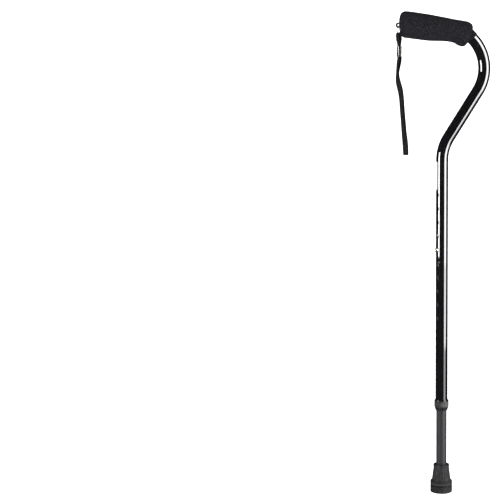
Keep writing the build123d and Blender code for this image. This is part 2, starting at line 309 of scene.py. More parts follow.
def anodised():
    s = Shader("satin_grey_anodising", Metallic=0.0)
    s.set("Specular IOR Level", 0.16)
    lines = s.noise(s.place((1, 1, 0.012)), 1.4, 4.0, 0.65)
    cloud = s.noise(s.place(), 0.035, 3.0)
    base = s.mix(lines, (0.0165, 0.0160, 0.0190), (0.0270, 0.0262, 0.0305))
    s.color(s.mix(s.span(cloud, 0.35, 0.75, 0.0, 0.35), base, (0.0140, 0.0140, 0.0160)))
    s.rough(s.span(lines, 0.3, 0.7, 0.48, 0.60))
    s.bump(lines, 0.02, 0.5)
    return s.material


def foam():
    s = Shader("closed_cell_foam", Sheen_Weight=0.01, Sheen_Roughness=0.55)
    s.set("Specular IOR Level", 0.02)
    at = s.place()
    cell = s.cells(at, 1.5)
    grain = s.noise(at, 1.45, 3.0, 0.8)
    blotch = s.noise(at, 0.09, 3.0)
    base = s.mix(s.span(blotch, 0.3, 0.7), (0.0030, 0.0028, 0.0038), (0.0050, 0.0047, 0.0064))
    # Painted shade: the colour is darkened in the cells' pits, where the bump below sinks the surface.
    dark = s.mix(s.span(cell, 0.05, 0.5), (0.0014, 0.0013, 0.0018), base)
    mottle = s.mix(s.span(s.noise(at, 0.75, 2.0), 0.35, 0.70), dark, (0.0105, 0.0100, 0.0128))
    s.color(s.mix(s.span(grain, 0.56, 0.68), mottle, (0.105, 0.102, 0.114)))
    s.rough(s.span(grain, 0.3, 0.7, 0.82, 0.96))
    pits = s.bump(cell, 0.35, 0.55)
    s.bump(grain, 0.22, 0.5, also=pits)
    return s.material


def webbing():
    s = Shader("woven_webbing")
    s.set("Specular IOR Level", 0.0)
    # The mesh carries (across, along, how far the thread stands up) on each vertex.
    relief = s.node("ShaderNodeAttribute", attribute_name="weave").outputs["Vector"]
    raised = s.span(s.height(relief), 0.50, 0.82)
    thread = s.noise(s.stretch(relief, (7.0, 0.8, 0.0)), 1.0, 3.0, 0.6)
    # Painted light and shade: the raised threads get the lighter lit colour and the hollows between them a
    # darker painted shade.
    dark = s.mix(thread, (0.0010, 0.0010, 0.0011), (0.0022, 0.0022, 0.0024))
    lit = s.mix(thread, (0.024, 0.024, 0.0243), (0.085, 0.085, 0.0855))
    s.color(s.mix(raised, dark, lit))
    s.rough(s.span(thread, 0.3, 0.7, 0.42, 0.62))
    s.bump(thread, 0.10, 0.5)
    return s.material


def nickel(name="bright_nickel", tint=(0.50, 0.48, 0.45)):
    s = Shader(name, Metallic=1.0)
    at = s.place()
    wear = s.noise(at, 0.35, 4.0, 0.6)
    s.color(s.mix(s.span(wear, 0.35, 0.75), tint, tuple(0.72 * c for c in tint)))
    s.rough(s.span(s.noise(s.place((1, 1, 0.15)), 1.6, 3.0), 0.3, 0.7, 0.16, 0.30))
    s.bump(wear, 0.03, 0.4)
    return s.material


def drawn_nickel():
    """Nickel drawn up and down, with a darker band painted on one side as a painted reflection of the dark
    room in its flat faces.
    """
    s = Shader("drawn_nickel", Metallic=1.0)
    at = s.place()
    across = s.node("ShaderNodeSeparateXYZ", {0: at}).outputs[0]
    streaks = s.noise(s.place((1.0, 1.0, 0.05)), 1.1, 3.0, 0.55)
    # The dark band, a painted reflection, is on the side towards the handle's free end.
    tone = s.mix(s.span(streaks, 0.38, 0.62), (0.045, 0.043, 0.041), (0.23, 0.22, 0.205))
    s.color(s.mix(s.span(across, -82.2, -80.8), (0.085, 0.082, 0.080), tone))
    s.rough(s.span(streaks, 0.3, 0.7, 0.20, 0.32))
    s.bump(streaks, 0.03, 0.4)
    return s.material


def moulded(name, base, light, rough=(0.42, 0.58), grain=1.3, depth=0.05, specular=0.4):
    """Moulded plastic with a fine spark-eroded grain and faint flow marks."""
    s = Shader(name)
    s.set("Specular IOR Level", specular)
    at = s.place()
    fine = s.noise(at, grain, 4.0, 0.6)
    flow = s.noise(s.place((0.3, 0.3, 0.05)), 0.6, 2.0)
    s.color(s.mix(s.math("MULTIPLY", fine, flow), base, light))
    s.rough(s.span(fine, 0.3, 0.7, *rough))
    s.bump(fine, depth, 0.5)
    return s.material


def nut_plastic():
    """Grained nylon, rubbed smooth along the nut's upper rim, with painted shade darkening the band under
    it.
    """
    s = Shader("nut_nylon_grain", Coat_Weight=0.25, Coat_Roughness=0.12)
    s.set("Specular IOR Level", 0.35)
    at = s.place()
    fine = s.noise(at, 1.1, 4.0, 0.6)
    height = s.height(at)
    rubbed = s.span(height, NUT_TOP - 1.4, NUT_TOP - 0.8)
    # Painted shade: a band just under the rubbed rim is painted darker.
    below = s.span(height, NUT_TOP - 5.5, NUT_TOP - 2.0)
    under = s.math("MULTIPLY", below, s.span(rubbed, 0.0, 1.0, 1.0, 0.0))
    grain = s.mix(fine, (0.0040, 0.0039, 0.0049), (0.0200, 0.0195, 0.0235))
    s.color(s.mix(s.math("MULTIPLY", under, 0.75), grain, (0.0030, 0.0030, 0.0036)))
    s.rough(s.mix(rubbed, (0.38, 0.38, 0.38), (0.10, 0.10, 0.10)))
    s.bump(fine, 0.06, 0.5)
    return s.material


def rubber():
    """Moulded rubber: mottled, ribbed up and down on the cone, dusty low down, with a painted highlight on
    the band above its groove and painted shade in its groove and mouth."""
    s = Shader("tip_rubber_skin")
    s.set("Specular IOR Level", 0.12)
    at = s.place()
    fine = s.noise(at, 1.8, 5.0, 0.65)
    blotch = s.noise(at, 0.22, 3.0, 0.6)
    ribs = s.noise(s.place((1, 1, 0.10)), 0.42, 3.0, 0.6)
    dust = s.noise(s.place((1, 1, 0.35)), 0.16, 4.0, 0.6)
    height = s.height(at)
    base = s.mix(fine, (0.0095, 0.0098, 0.0110), (0.0175, 0.0178, 0.0195))
    mottled = s.mix(s.span(blotch, 0.38, 0.66), base, (0.0060, 0.0062, 0.0070))
    on_cone = s.span(height, TIP_BASE_TOP - 0.5, TIP_BASE_TOP + 1.5)
    ribbed = s.mix(s.math("MULTIPLY", s.span(ribs, 0.45, 0.65), on_cone), mottled, (0.030, 0.0305, 0.033))
    low = s.span(height, 0.0, 9.0, 1.0, 0.0)
    share = s.math("ADD", s.math("MULTIPLY", low, 0.7), 0.3)
    dusty = s.math("MULTIPLY", s.span(dust, 0.45, 0.8, 0.0, 0.5), share)
    worn = s.mix(dusty, ribbed, (0.030, 0.030, 0.0305))
    # Painted highlight: a lighter band above the groove.
    rim_start = s.span(height, GROOVE_HIGH + 0.2, GROOVE_HIGH + 1.8)
    rim_end = s.span(height, GROOVE_HIGH + 2.6, GROOVE_HIGH + 4.4, 1.0, 0.0)
    rim_above = s.math("MULTIPLY", rim_start, rim_end)
    lit_rim = s.mix(s.math("MULTIPLY", rim_above, 0.6), worn, (0.046, 0.0465, 0.050))
    # Painted shade: the groove round the base and the mouth at the top are painted near-black.
    groove_start = s.span(height, GROOVE_LOW - 0.4, GROOVE_LOW + 0.2)
    groove_end = s.span(height, GROOVE_HIGH - 0.2, GROOVE_HIGH + 0.4, 1.0, 0.0)
    groove = s.math("MULTIPLY", groove_start, groove_end)
    mouth = s.span(height, TIP_HEIGHT - 1.2, TIP_HEIGHT - 0.4)
    s.color(s.mix(s.math("MAXIMUM", groove, mouth), lit_rim, (0.0012, 0.0012, 0.0014)))
    s.rough(s.span(fine, 0.3, 0.7, 0.62, 0.82))
    s.bump(fine, 0.10, 0.5)
    return s.material


def steel():
    s = Shader("spring_steel_strip", Metallic=1.0)
    grain = s.noise(s.place((1, 1, 0.06)), 1.2, 4.0)
    s.color(s.mix(grain, (0.38, 0.39, 0.41), (0.60, 0.60, 0.60)))
    s.rough(s.span(grain, 0.3, 0.7, 0.24, 0.40))
    s.bump(grain, 0.02, 0.5)
    return s.material


def film():
    s = Shader("satin_film", Coat_Weight=0.6, Coat_Roughness=0.12)
    s.set("Specular IOR Level", 0.5)
    at = s.place()
    cloud = s.noise(at, 0.10, 3.0)
    height = s.height(at)
    fibre = s.noise(at, 2.4, 3.0)
    # Painted light: the film is painted lighter towards its top.
    band = s.mix(s.span(height, LABEL_LOW, LABEL_HIGH), (0.80, 0.80, 0.83), (0.88, 0.88, 0.92))
    s.color(s.mix(s.span(cloud, 0.35, 0.7, 0.0, 0.35), band, (0.66, 0.66, 0.70)))
    s.rough(s.span(fibre, 0.3, 0.7, 0.28, 0.40))
    s.bump(fibre, 0.01, 0.4)
    return s.material


PAINT = gloss_paint()
ANODISED = anodised()
FOAM = foam()
WEBBING = webbing()
NICKEL = nickel()
CRIMP_NICKEL = drawn_nickel()
BUTTON_METAL = nickel("button_nickel", (0.46, 0.42, 0.32))
STEEL = steel()
FILM = film()
RUBBER = rubber()
NUT_PLASTIC = nut_plastic()
COLLET_PLASTIC = moulded("collet_nylon", (0.30, 0.30, 0.29), (0.46, 0.46, 0.44), (0.40, 0.55))
BLACK_PLASTIC = moulded("black_plastic_grain", (0.010, 0.010, 0.011), (0.034, 0.034, 0.036), (0.38, 0.52))

# ---------------------------------------------------------------------------------------------
# Wrist strap: the cord's line first, then the webbing that follows it
# ---------------------------------------------------------------------------------------------
WEBBING_WIDTH, WEBBING_THICK = 9.8, 1.35

# The route in metres. It starts in the crimp, goes over the ring's wire and down through the crimp,
# twists by a quarter turn, folds at the bottom and comes back up behind itself.
STRAP_ROUTE = [
    (-0.0794, 0.0000, 0.8120),
    (-0.0794, 0.0000, 0.8285),
    (-0.0785, 0.0000, 0.8400),
    (-0.0789, 0.0000, 0.8519),
    (-0.0843, 0.0000, 0.8519),
    (-0.0830, 0.0000, 0.8390),
    (-0.08105, 0.0000, 0.8285),
    (-0.08105, 0.0000, 0.8080),
    (-0.0830, 0.0002, 0.7960),
    (-0.0846, 0.0003, 0.7820),
    (-0.0846, -0.0004, 0.7700),
    (-0.0818, -0.0016, 0.7590),
    (-0.0791, -0.0015, 0.7480),
    (-0.0775, -0.0010, 0.7340),
    (-0.0762, -0.0008, 0.7120),
    (-0.0745, -0.0008, 0.6920),
    (-0.0728, -0.0010, 0.6720),
    (-0.0708, -0.0014, 0.6560),
    (-0.0692, -0.0017, 0.6420),
    (-0.0688, -0.0018, 0.6313),
    (-0.0673, 0.0020, 0.6313),
    (-0.0675, 0.0017, 0.6420),
    (-0.0681, 0.0013, 0.6560),
    (-0.0698, 0.0010, 0.6720),
    (-0.0712, 0.0008, 0.6920),
    (-0.0729, 0.0008, 0.7120),
    (-0.0744, 0.0010, 0.7340),
    (-0.0770, 0.0016, 0.7480),
    (-0.0802, 0.0017, 0.7590),
    (-0.0820, 0.0004, 0.7700),
    (-0.0818, 0.0000, 0.7820),
    (-0.0792, 0.0000, 0.7960),
    (-0.07775, 0.0000, 0.8080),
    (-0.07775, 0.0000, 0.8245),
]
# Height in millimetres against the webbing's turn about the upright, from across the handle to along it.
STRAP_TURN = [
    (631, 64), (642, 62), (656, 46), (672, 28), (700, 22), (734, 24), (746, 44), (757, 66), (765, 34),
    (774, 4), (782, -3), (792, 8), (803, 18), (809, 8), (829, 0), (836, 24), (846, 24), (851, 10),
]


def smooth_line(route):
    """The points of a NURBS curve that has the route's points as its control points, in metres."""
    curve = bpy.data.curves.new("strap_line", "CURVE")
    curve.dimensions = "3D"
    curve.resolution_u = 40
    spline = curve.splines.new("NURBS")
    spline.points.add(len(route) - 1)
    for point, place in zip(spline.points, route):
        point.co = (*place, 1.0)
    spline.order_u = 3
    spline.use_endpoint_u = True
    holder = bpy.data.objects.new("strap_line", curve)
    scene.collection.objects.link(holder)
    bpy.context.view_layer.update()
    drawn = bpy.data.meshes.new_from_object(holder)
    line = np.array([v.co for v in drawn.vertices], float)
    bpy.data.objects.remove(holder)
    bpy.data.curves.remove(curve)
    bpy.data.meshes.remove(drawn)
    return line


strap_line = smooth_line(STRAP_ROUTE)
steps = np.linalg.norm(np.diff(strap_line, axis=0), axis=1)
along = np.concatenate([[0.0], np.cumsum(steps)])
strap_length = float(along[-1])

ROW_PITCH = 2.6        # one row of raised threads along the webbing
COLUMN_PITCH = 1.3     # one column of raised threads across it
RINGS_PER_ROW = 5
ACROSS = 31
BORDER = 0.85          # the rolled edge beside the columns
TURN_WINDOW = 31       # rings that the turn is averaged over

ring_count = int(strap_length / MM / ROW_PITCH * RINGS_PER_ROW) + 1
at = np.linspace(0.0, strap_length, ring_count)
centres = np.stack([np.interp(at, along, strap_line[:, i]) for i in range(3)], axis=1)
tangents = np.gradient(centres, axis=0)
tangents /= np.linalg.norm(tangents, axis=1)[:, None]
turn_at = np.radians(np.interp(centres[:, 2] / MM, *np.array(STRAP_TURN, float).T))
# A running mean takes the kinks out of the turn without moving the line.
window = np.ones(TURN_WINDOW) / TURN_WINDOW
turn_at = np.convolve(np.pad(turn_at, TURN_WINDOW // 2, mode="edge"), window, mode="valid")
wide = np.stack([-np.sin(turn_at), np.cos(turn_at), np.zeros(ring_count)], axis=1)
wide -= tangents * np.sum(wide * tangents, axis=1)[:, None]
wide /= np.linalg.norm(wide, axis=1)[:, None]
thick = np.cross(tangents, wide)

half_w, half_t = WEBBING_WIDTH / 2, WEBBING_THICK / 2
section = []  # (across, outward side)
for k in range(ACROSS):
    section.append((-half_w + WEBBING_WIDTH * k / (ACROSS - 1), 1))
for k in range(ACROSS):
    section.append((half_w - WEBBING_WIDTH * k / (ACROSS - 1), -1))

verts, weave = [], []
for i in range(ring_count):
    v = at[i] / MM
    row = 0.5 + 0.5 * math.cos(2 * math.pi * v / ROW_PITCH)
    for u, side in section:
        from_edge = half_w - abs(u)
        if from_edge > BORDER:
            column = abs(math.cos(math.pi * u / COLUMN_PITCH))
            raised = (column ** 0.7) * (row ** 0.6)
            height = 0.30 * raised - 0.12
        else:
            raised = 0.5 + 0.5 * math.cos(2 * math.pi * (v / (ROW_PITCH / 2) + side * u * 0.6))
            roll = math.sqrt(max(0.0, 1 - ((BORDER - from_edge) / BORDER) ** 2))
            height = (half_t + 0.1) * (roll - 1) * 0.92 + 0.14 * raised * roll
        out = side * (half_t + height)
        place = centres[i] / MM + wide[i] * u + thick[i] * out
        verts.append(tuple(place))
        weave.append((u, v, raised))
around = len(section)
faces = grid_faces(ring_count, around)
faces.append(tuple(range(around))[::-1])
faces.append(tuple(range((ring_count - 1) * around, ring_count * around)))
strap = mesh_piece("wrist_strap_webbing", verts, faces, WEBBING, "strap", ["wrist_strap"],
                   sharp=70)
layer = strap.data.attributes.new("weave", "FLOAT_VECTOR", "POINT")
layer.data.foreach_set("vector", np.array(weave, np.float32).ravel())

# ---------------------------------------------------------------------------------------------
# Tubes with a row of holes
# ---------------------------------------------------------------------------------------------
AROUND = 96
PATCH_COLUMNS = 8      # columns on each side of a hole's centre that its patch takes
PATCH_ROWS = 4         # rows above and below a hole's centre
PATCH_HALF = 6.0
RIM_BEVEL = 0.22
LONGEST_GAP = 14


def straight_stations(low, high, holes, ends):
    """Rings on a straight tube: its ends, the rows of each hole's patch, and enough rows between them
    that none is over LONGEST_GAP apart."""
    heights = set(ends) | {low, high}
    for hole in holes:
        heights |= {round(hole + PATCH_HALF * k / PATCH_ROWS, 4) for k in range(-PATCH_ROWS, PATCH_ROWS + 1)}
    heights = sorted(heights)
    filled = [heights[0]]
    for z in heights[1:]:
        gap = z - filled[-1]
        extra = int(gap // LONGEST_GAP)
        filled += [filled[-1] + gap * (k + 1) / (extra + 1) for k in range(extra)]
        filled.append(z)
    return [(0.0, z, 0.0) for z in filled]


def holed_tube(stations, outer, bore, holes, hole_r, turn):
    """A tube through the stations (x, z, lean of its axis from upright), with round holes on one side.

    The holes are on the part that is upright and centred on the Z axis."""
    verts, faces = [], []

    def point(x, z, lean_by, radius, angle):
        side, out = radius * math.sin(angle), radius * math.cos(angle)
        return (x + out * math.cos(lean_by), side, z - out * math.sin(lean_by))

    angles = [turn + 2 * math.pi * k / AROUND for k in range(AROUND)]
    skins = []
    for radius in (outer, bore):
        skins.append(len(verts))
        for x, z, lean_by in stations:
            verts += [point(x, z, lean_by, radius, a) for a in angles]
    ranges = []
    for hole in holes:
        rows = [i for i, (x, z, _) in enumerate(stations) if abs(z - hole) <= PATCH_HALF + 1e-3 and x == 0.0]
        ranges.append((hole, rows[0], rows[-1]))
    for first in skins:
        for i in range(len(stations) - 1):
            open_row = any(low <= i < high for hole, low, high in ranges)
            for k in range(AROUND):
                if open_row and (k < PATCH_COLUMNS or k >= AROUND - PATCH_COLUMNS):
                    continue
                n = (k + 1) % AROUND
                a, b = first + i * AROUND, first + (i + 1) * AROUND
                faces.append((a + k, a + n, b + n, b + k))
    for end in (0, len(stations) - 1):
        for k in range(AROUND):
            n = (k + 1) % AROUND
            a, b = skins[0] + end * AROUND, skins[1] + end * AROUND
            faces.append((a + k, a + n, b + n, b + k))
    for hole, low, high in ranges:
        border = []  # (column, row) once round the patch
        border += [(k, low) for k in range(-PATCH_COLUMNS, PATCH_COLUMNS)]
        border += [(PATCH_COLUMNS, i) for i in range(low, high)]
        border += [(k, high) for k in range(PATCH_COLUMNS, -PATCH_COLUMNS, -1)]
        border += [(-PATCH_COLUMNS, i) for i in range(high, low, -1)]
        step = 2 * math.pi / AROUND
        loops = []
        spots = [(column * step, stations[row][1] - hole) for column, row in border]
        loops.append([skins[0] + row * AROUND + column % AROUND for column, row in border])
        flats = [(outer * a, z) for a, z in spots]
        ways = [math.atan2(z, t) for t, z in flats]

        def ring(radius, size, share=1.0):
            """Indices of a ring round the hole: at share 1 the circle, below 1 nearer the patch's border."""
            made = []
            for (border_angle, border_z), way in zip(spots, ways):
                t, z = size * math.cos(way), size * math.sin(way)
                angle = math.asin(t / radius) * share + border_angle * (1 - share)
                made.append(len(verts))
                height = hole + z * share + border_z * (1 - share)
                verts.append(point(0.0, height, 0.0, radius, turn + angle))
            return made

        loops.append(ring(outer, hole_r + RIM_BEVEL, 0.6))
        loops.append(ring(outer, hole_r + RIM_BEVEL))
        loops.append(ring(outer - 0.3 * RIM_BEVEL, hole_r + 0.3 * RIM_BEVEL))
        loops.append(ring(outer - RIM_BEVEL, hole_r))
        loops.append(ring(bore, hole_r))
        loops.append([skins[1] + row * AROUND + column % AROUND for column, row in border])
        for here, there in zip(loops, loops[1:]):
            for k in range(len(here)):
                n = (k + 1) % len(here)
                faces.append((here[k], here[n], there[n], there[k]))
    return verts, faces


def bent_stations():
    """Stations of the upper tube: the straight shaft, the bend out, the leaning run, the bend back
    and the handle."""
    first_reach = BEND_R * math.tan(LEAN / 2)
    last_lean = -(math.pi / 2 - RISE)
    second_reach = BEND_R * math.tan((LEAN - last_lean) / 2)
    holes = [BUTTON_Z + HOLE_PITCH * k for k in range(-HOLES_BELOW, HOLES_ABOVE + 1)]
    made = straight_stations(UPPER_BOTTOM, FIRST_CORNER_Z - first_reach, holes, [UPPER_BOTTOM + 1.0])

    def arc(x, z, start, end, count):
        way = 1 if end > start else -1
        cx, cz = x + way * BEND_R * math.cos(start), z - way * BEND_R * math.sin(start)
        for k in range(1, count + 1):
            lean_by = start + (end - start) * k / count
            across, up = BEND_R * math.cos(lean_by), BEND_R * math.sin(lean_by)
            made.append((cx - way * across, cz + way * up, lean_by))

    def run(x, z, lean_by, count):
        x0, z0, _ = made[-1]
        for k in range(1, count + 1):
            made.append((x0 + (x - x0) * k / count, z0 + (z - z0) * k / count, lean_by))

    arc(0.0, FIRST_CORNER_Z - first_reach, 0.0, LEAN, 16)
    corner_x, corner_z = second_corner
    run(corner_x - second_reach * math.sin(LEAN), corner_z - second_reach * math.cos(LEAN), LEAN, 8)
    arc(made[-1][0], made[-1][1], LEAN, last_lean, 56)
    run(*on_handle(HANDLE_END_X), last_lean, 8)
    return made, holes


upper_stations, upper_holes = bent_stations()
verts, faces = holed_tube(upper_stations, UPPER_R, UPPER_BORE, upper_holes, HOLE_R, BUTTON_TURN)
mesh_piece("painted_upper_tube", verts, faces, PAINT, "upper_assembly", ["upper_tube"])

lower_stations = straight_stations(LOWER_BOTTOM, LOWER_TOP, [BUTTON_Z], [])
verts, faces = holed_tube(lower_stations, LOWER_R, LOWER_BORE, [BUTTON_Z], HOLE_R, BUTTON_TURN)
mesh_piece("anodised_lower_tube", verts, faces, ANODISED, "lower_assembly", ["lower_tube"])

# ---------------------------------------------------------------------------------------------
# Foam grip
# ---------------------------------------------------------------------------------------------
# Each station: x and z of the section's centre, height, width, forward tilt in degrees.
GRIP = [
    (-67.0, 866.5, 48.4, 38.8, 0),
    (-52.0, 864.6, 48.5, 38.6, 0),
    (-38.0, 862.6, 48.4, 38.2, 0),
    (-24.0, 860.7, 47.6, 37.6, 0),
    (-10.0, 859.1, 45.4, 36.8, 1),
    (4.0, 857.5, 43.2, 35.8, 3),
    (16.0, 855.5, 41.8, 35.2, 6),
    (25.0, 853.6, 42.6, 35.0, 8),
    (33.0, 850.9, 45.4, 35.2, 11),
    (39.8, 849.1, 46.4, 35.2, 14),
]
GRIP_AROUND = 96
GRIP_BORE = UPPER_R + 0.08


def catmull(rows, count):
    """Smooth in-between rows through the given rows."""
    rows = np.array(rows, float)
    padded = np.vstack([2 * rows[0] - rows[1], rows, 2 * rows[-1] - rows[-2]])
    made = []
    for i in range(1, len(padded) - 2):
        a, b, c, d = padded[i - 1: i + 3]
        for k in range(count):
            t = k / count
            made.append(0.5 * (2 * b + (c - a) * t + (2 * a - 5 * b + 4 * c - d) * t * t
                               + (3 * b - a - 3 * c + d) * t ** 3))
    made.append(rows[-1])
    return np.array(made)


def oval(x, z, height, width, tilt, power=2.15):
    """One ring of the grip's skin."""
    tilt = math.radians(tilt)
    ring = []
    for k in range(GRIP_AROUND):
        a = 2 * math.pi * k / GRIP_AROUND
        c, s = math.cos(a), math.sin(a)
        up = math.copysign(abs(c) ** (2 / power), c) * height / 2
        side = math.copysign(abs(s) ** (2 / power), s) * width / 2
        ring.append((x + up * math.sin(tilt), side, z + up * math.cos(tilt)))
    return ring


def bore_ring(x, z, lean_by, radius=GRIP_BORE):
    """One ring of the grip's bore, square to the tube."""
    ring = []
    for k in range(GRIP_AROUND):
        a = 2 * math.pi * k / GRIP_AROUND
        out = radius * math.cos(a)
        ring.append((x + out * math.cos(lean_by), radius * math.sin(a), z - out * math.sin(lean_by)))
    return ring


def mixed(a, b, share):
    return [tuple(p + (q - p) * share for p, q in zip(u, v)) for u, v in zip(a, b)]


grip_rows = catmull(GRIP, 7)
rings = [oval(*row) for row in grip_rows]
# The neck end: the section rounds over and meets a nearly flat face that is tilted with the tube.
last = grip_rows[-1]
NECK_TILT = 21.0
NECK_DIP = math.radians(17)
NECK_DEPTH = 10.8
NECK_REACH_X = 56.0
forward = (math.cos(NECK_DIP), -math.sin(NECK_DIP))
for k in range(1, 13):
    a = math.pi / 2 * k / 12
    ahead = NECK_DEPTH * math.sin(a) ** 0.9
    shrink = 1 - 0.42 * (1 - math.cos(a) ** 0.75)
    tilt = last[4] + (NECK_TILT - last[4]) * math.sin(a)
    rings.append(oval(last[0] + ahead * forward[0], last[1] + ahead * forward[1],
                      last[2] * shrink, last[3] * shrink, tilt))
handle_stations = [s for s in upper_stations if s[0] < NECK_REACH_X and s[2] < -0.5]
mouth = handle_stations[0]
rings.append(mixed(rings[-1], bore_ring(mouth[0], mouth[1], mouth[2], GRIP_BORE + 0.9), 0.6))
for i, (x, z, lean_by) in enumerate(handle_stations):
    rings.append(bore_ring(x, z, lean_by, GRIP_BORE + max(0.0, 0.9 - 0.45 * i)))
# The handle's end: a domed face round the plug.
first = grip_rows[0]
END_DEPTH = 11.0
end_rings = []
for k in range(12, 0, -1):
    a = math.pi / 2 * k / 12
    ahead = END_DEPTH * math.sin(a) ** 0.95
    shrink = 1 - 0.5 * (1 - math.cos(a) ** 0.72)
    end_rings.append(oval(first[0] - ahead, first[1] + 0.5 * math.sin(a),
                          first[2] * shrink, first[3] * shrink, 0))
end_centre = on_handle(-77.4)
lean_end = -(math.pi / 2 - RISE)
inner = bore_ring(end_centre[0], end_centre[1], lean_end, GRIP_BORE + 0.5)
rings.append(bore_ring(*on_handle(-76.4), lean_end))
rings.append(mixed(inner, end_rings[0], 0.15))
rings.append(mixed(inner, end_rings[0], 0.6))
rings += end_rings
verts = [p for ring in rings for p in ring]
grip = mesh_piece("foam_hand_grip", verts, grid_faces(len(rings), GRIP_AROUND, closed_rings=True), FOAM,
                  "upper_assembly", ["foam_grip"], sharp=60)

# ---------------------------------------------------------------------------------------------
# Split ring and crimp
# ---------------------------------------------------------------------------------------------
RING_R, RING_Z, RING_X = 8.2, 856.4, -81.6
WIRE_R = 0.42
verts = []
COIL_STEPS, WIRE_AROUND = 150, 14
for i in range(COIL_STEPS + 1):
    t = i / COIL_STEPS
    a = 2 * math.pi * (2 * t) + math.radians(40)
    shift = (t - 0.5) * 0.9
    narrow = min(1.0, 12 * min(t, 1 - t) + 0.45)
    for k in range(WIRE_AROUND):
        b = 2 * math.pi * k / WIRE_AROUND
        r = RING_R + WIRE_R * math.cos(b) * narrow
        x = RING_X + shift + WIRE_R * math.sin(b) * 0.95 * narrow
        verts.append((x, r * math.cos(a), RING_Z + r * math.sin(a)))
faces = grid_faces(COIL_STEPS + 1, WIRE_AROUND)
faces.append(tuple(range(WIRE_AROUND)))
faces.append(tuple(range(COIL_STEPS * WIRE_AROUND, (COIL_STEPS + 1) * WIRE_AROUND)))
mesh_piece("coiled_split_ring", verts, faces, NICKEL, "ring", ["split_ring"], sharp=60)

CRIMP_X, CRIMP_LOW, CRIMP_HIGH = -79.4, 808.5, 828.0
CRIMP_HALF = (4.7, 6.3)
CRIMP_CORNER = 2.6
CRIMP_MIDDLE = (CRIMP_LOW + CRIMP_HIGH) / 2


def box_loop(half_x, half_y, corner, count=8):
    """Points once round a rounded rectangle."""
    loop = []
    for sx, sy, start in ((1, 1, 0), (-1, 1, 90), (-1, -1, 180), (1, -1, 270)):
        for k in range(count):
            a = math.radians(start + 90 * k / (count - 1))
            x, y = sx * (half_x - corner), sy * (half_y - corner)
            loop.append((x + corner * math.cos(a), y + corner * math.sin(a)))
    return loop


crimp_profile = [  # (inset from the outside, height)
    (0.75, CRIMP_LOW + 0.9), (0.75, CRIMP_LOW + 0.2), (0.55, CRIMP_LOW), (0.25, CRIMP_LOW),
    (0.05, CRIMP_LOW + 0.25), (0.0, CRIMP_LOW + 0.7), (0.12, CRIMP_LOW + 1.6), (0.22, CRIMP_LOW + 3.0),
    (0.22, CRIMP_MIDDLE),
    (0.22, CRIMP_HIGH - 3.0), (0.12, CRIMP_HIGH - 1.6), (0.0, CRIMP_HIGH - 0.7), (0.05, CRIMP_HIGH - 0.25),
    (0.25, CRIMP_HIGH), (0.55, CRIMP_HIGH), (0.75, CRIMP_HIGH - 0.2), (0.75, CRIMP_HIGH - 0.9),
    (0.85, CRIMP_MIDDLE),
]
verts = []
for inset, z in crimp_profile:
    for x, y in box_loop(CRIMP_HALF[0] - inset, CRIMP_HALF[1] - inset, CRIMP_CORNER - inset):
        verts.append((CRIMP_X + x, y, z))
faces = grid_faces(len(crimp_profile), len(verts) // len(crimp_profile), closed_rings=True)
crimp = mesh_piece("formed_strap_crimp", verts, faces, CRIMP_NICKEL, "strap", ["strap_crimp"],
                   sharp=50)

# ---------------------------------------------------------------------------------------------
# Locking nut, tip, button and label
# ---------------------------------------------------------------------------------------------
NUT_RIBS = 24


def nut_warp(r, z, angle):
    if r < NUT_R - 0.6 or not NUT_BOTTOM + 7.0 < z < NUT_TOP - 2.4:
        return r
    return r - 0.55 * (0.5 - 0.5 * math.cos(NUT_RIBS * angle)) ** 1.6


nut_corners = [  # (r, z, radius)
    (LOWER_R + 0.35, NUT_BOTTOM, 0.3), (10.7, NUT_BOTTOM, 0.8), (12.7, 161.6, 0.8), (NUT_R, 162.4, 0.4),
    (NUT_R, 163.2, 0), (NUT_R, 165.5, 0), (NUT_R, 168.5, 0), (NUT_R, 171.5, 0), (NUT_R, 172.2, 0),
    (NUT_R, 172.9, 0.2), (NUT_R - 0.5, 173.3, 0.2), (NUT_R, 173.8, 0.3), (NUT_R, NUT_TOP, 0.5),
    (12.25, NUT_TOP, 0.3), (12.25, 163.0, 0.2), (11.4, 162.0, 0.2), (10.6, 157.4, 0.2),
    (LOWER_R + 0.35, 157.4, 0.2),
]
verts, faces = lathe(rounded(nut_corners, 4), 240, nut_warp)
mesh_piece("ribbed_locking_nut", verts, faces, NUT_PLASTIC, "nut", ["locking_nut"], sharp=40)

# The tread's grooves, the edge, the groove round the base, the cone, the lip and the socket.
tip_corners = [  # (r, z, radius)
    (0.02, 0.6, 0), (5.0, 0.6, 0.2), (7.0, 0.0, 0.3), (7.05, 1.5, 0.3), (8.5, 1.5, 0.3), (8.55, 0.0, 0.3),
    (10.5, 0.0, 0.3), (10.55, 1.5, 0.3), (12.0, 1.5, 0.3), (12.05, 0.0, 0.3), (14.0, 0.0, 0.3),
    (14.05, 1.5, 0.3),
    (15.5, 1.5, 0.3), (15.55, 0.0, 0.3), (20.15, 0.0, 3.4), (TIP_BASE_R, GROOVE_LOW, 0.4),
    (19.5, GROOVE_LOW + 0.5, 0.3), (19.5, GROOVE_HIGH - 0.5, 0.3), (20.18, GROOVE_HIGH, 0.4),
    (TIP_BASE_R, TIP_BASE_TOP, 0.9), (18.0, TIP_BASE_TOP, 0.8), (17.1, 26.0, 2.0), (14.3, 47.8, 1.4),
    (14.7, 49.4, 0.8), (14.6, TIP_HEIGHT, 1.1), (12.2, TIP_HEIGHT, 1.0), (LOWER_R + 0.03, 50.0, 0.3),
    (LOWER_R + 0.03, 15.05, 0.2), (0.02, 15.05, 0),
]
verts, faces = lathe(rounded(tip_corners, 5), 112)
mesh_piece("stepped_rubber_tip", verts, faces, RUBBER, "lower_assembly", ["rubber_tip"],
           sharp=40)

BUTTON_R = 3.95
dome_top, shoulder = 15.4, 13.0
